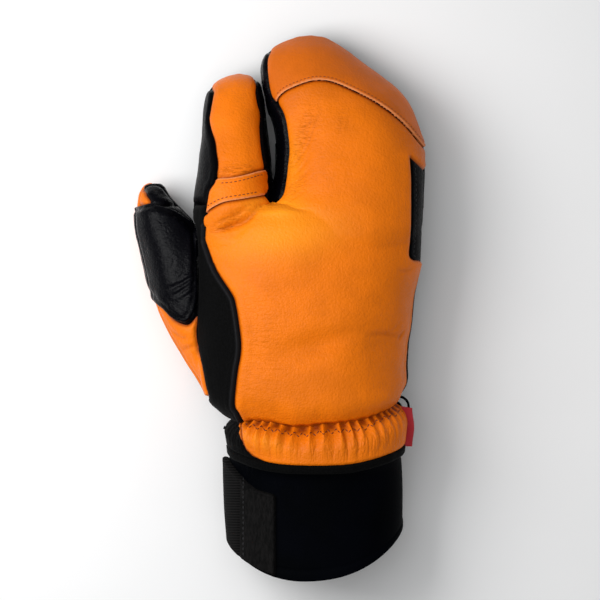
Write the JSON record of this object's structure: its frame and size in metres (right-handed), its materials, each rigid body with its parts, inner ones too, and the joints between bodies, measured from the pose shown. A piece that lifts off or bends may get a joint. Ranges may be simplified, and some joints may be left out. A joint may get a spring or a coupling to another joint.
{
  "type": "lobster claw mitt",
  "caption": "Padded leather three-finger mitt for a right hand, with a separate thumb and index finger, a gathered wrist and an open cuff with a strap.",
  "frame": {"origin": "middle of the mitt's footprint, on the surface that it rests on", "axes": "+Y from the cuff to the fingertips, +X towards the little finger's side, +Z out of the back of the hand"},
  "size_m": [0.1448, 0.272, 0.0658],
  "materials": {
    "orange_leather": "full-grain, soft gloss",
    "black_leather": "full-grain, glossy",
    "soft_shell": "matt",
    "neoprene": "matt, smooth",
    "hook_tape": "matt, ribbed",
    "label": "woven, matt",
    "cord": "matt"
  },
  "bodies": {
    "root": {"back_shell": "orange_leather", "fingertip_cap": "orange_leather", "index_back": "orange_leather", "knuckle_band": "orange_leather", "thumb_back": "orange_leather", "gusset": "black_leather", "index_side": "black_leather", "palm": "black_leather", "thumb_front": "black_leather", "thumb_patch": "black_leather", "outer_patch": "black_leather", "side_panel": "soft_shell", "hem_binding": "soft_shell", "cuff": "neoprene", "cuff_strap": "hook_tape", "side_tag": "label", "pull_loop": "cord"}
  },
  "joints": []
}
